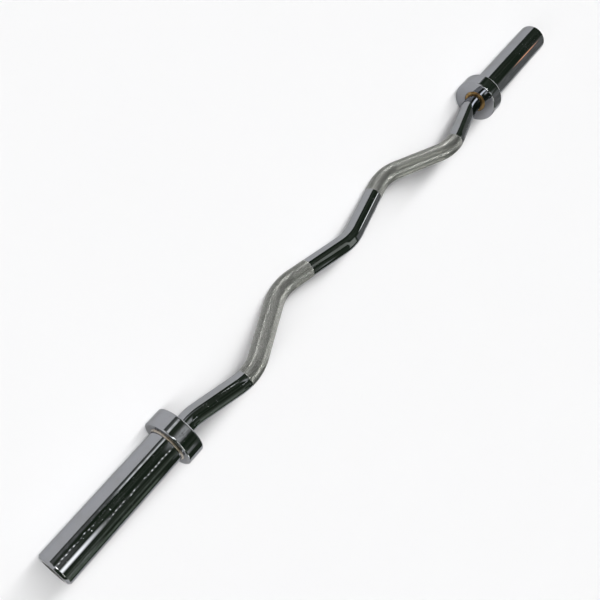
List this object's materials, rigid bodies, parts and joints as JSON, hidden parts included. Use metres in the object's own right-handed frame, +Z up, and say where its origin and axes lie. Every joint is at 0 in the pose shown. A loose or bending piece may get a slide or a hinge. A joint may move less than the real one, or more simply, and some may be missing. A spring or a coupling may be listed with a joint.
{
  "type": "ez curl bar",
  "caption": "Chromed curl bar: a W-bent shaft with knurled grips between free-turning plate sleeves with thick collars, each held on by a bolt in its end.",
  "frame": {"origin": "on the floor, straight below the middle of the sleeves' axis", "axes": "+X along the bar towards the right-hand sleeve, +Z up, -Y the front, to which the shaft's high bends lean down"},
  "size_m": [1.2, 0.074, 0.074],
  "materials": {
    "shaft_chrome": "polished chrome plate, matt where the grips are knurled",
    "sleeve_chrome": "polished chrome plate with fine scuffs along the sleeve",
    "collar_chrome": "polished chrome plate with turning marks on its faces",
    "weld_chrome": "chromed weld with a warm heat stain",
    "bronze": "turned bearing bronze",
    "washer_steel": "zinc-plated steel",
    "bolt_steel": "plated steel, turned head"
  },
  "bodies": {
    "shaft": {"bent_shaft": "shaft_chrome", "right_retaining_washer": "washer_steel", "right_lock_washer": "washer_steel", "right_end_bolt": "bolt_steel", "left_retaining_washer": "washer_steel", "left_lock_washer": "washer_steel", "left_end_bolt": "bolt_steel"},
    "right_sleeve": {"right_sleeve_tube": "sleeve_chrome", "right_collar": "collar_chrome", "right_weld_bead": "weld_chrome", "right_inner_bushing": "bronze", "right_outer_bushing": "bronze", "right_inner_thrust_washer": "bronze", "right_outer_thrust_washer": "bronze"},
    "left_sleeve": {"left_sleeve_tube": "sleeve_chrome", "left_collar": "collar_chrome", "left_weld_bead": "weld_chrome", "left_inner_bushing": "bronze", "left_outer_bushing": "bronze", "left_inner_thrust_washer": "bronze", "left_outer_thrust_washer": "bronze"}
  },
  "joints": [
    {"name": "right_sleeve_spin", "type": "hinge", "parent": "shaft", "child": "right_sleeve", "pos_m": [0.5, 0, 0.037], "axis": [1, 0, 0], "continuous": true},
    {"name": "left_sleeve_spin", "type": "hinge", "parent": "shaft", "child": "left_sleeve", "pos_m": [-0.5, 0, 0.037], "axis": [1, 0, 0], "continuous": true}
  ]
}
